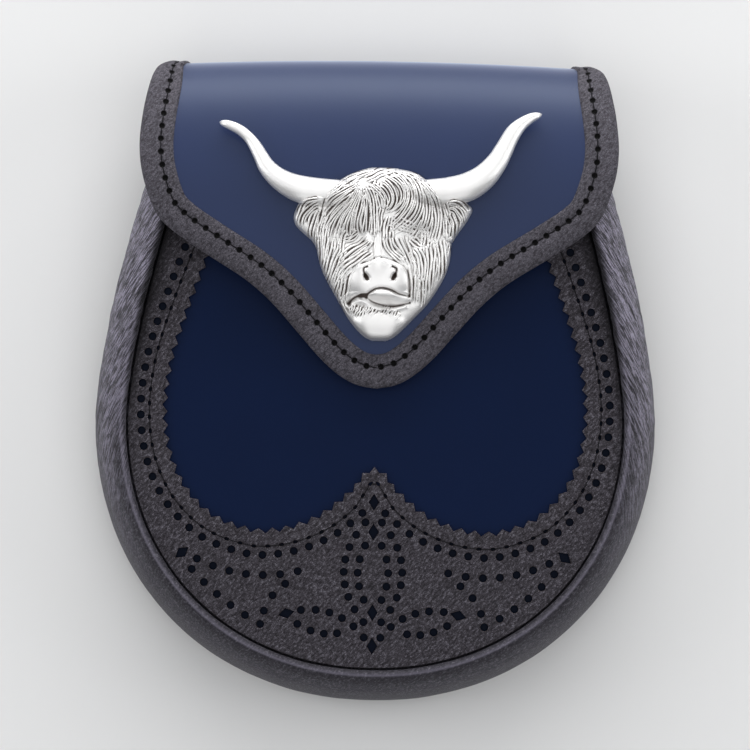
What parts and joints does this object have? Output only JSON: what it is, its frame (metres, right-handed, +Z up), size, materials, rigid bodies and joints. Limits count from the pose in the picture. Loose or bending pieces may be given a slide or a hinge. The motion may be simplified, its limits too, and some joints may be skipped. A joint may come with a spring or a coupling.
{
  "type": "sporran pouch",
  "caption": "Rounded leather pouch worn at the waist, with a gusset, a brogued front, a bound flap with a cast cow's head badge, and strap loops behind.",
  "frame": {"origin": "centre of the bounding box, on the surface that the pouch lies on", "axes": "+X to the right of the pouch as seen from its front, +Y towards the fold of the flap at its top, +Z up, out of its front"},
  "size_m": [0.1768, 0.2026, 0.0552],
  "materials": {
    "charcoal_leather": "soft grained leather, semi-matt, with fine wrinkles",
    "navy_leather": "smooth polished hide, satin",
    "brogue_leather": "grained leather, matt, with raw cut edges",
    "pewter": "antiqued cast pewter, bright on the raised hair and dark in its grooves",
    "dark_metal": "blackened steel, satin"
  },
  "bodies": {
    "root": {"back_panel": "charcoal_leather", "gusset": "charcoal_leather", "front_panel": "navy_leather", "bib": "brogue_leather", "flap": "navy_leather", "flap_binding": "charcoal_leather", "badge": "pewter", "press_stud": "dark_metal", "strap_loop_left": "charcoal_leather", "strap_loop_right": "charcoal_leather"}
  },
  "joints": []
}
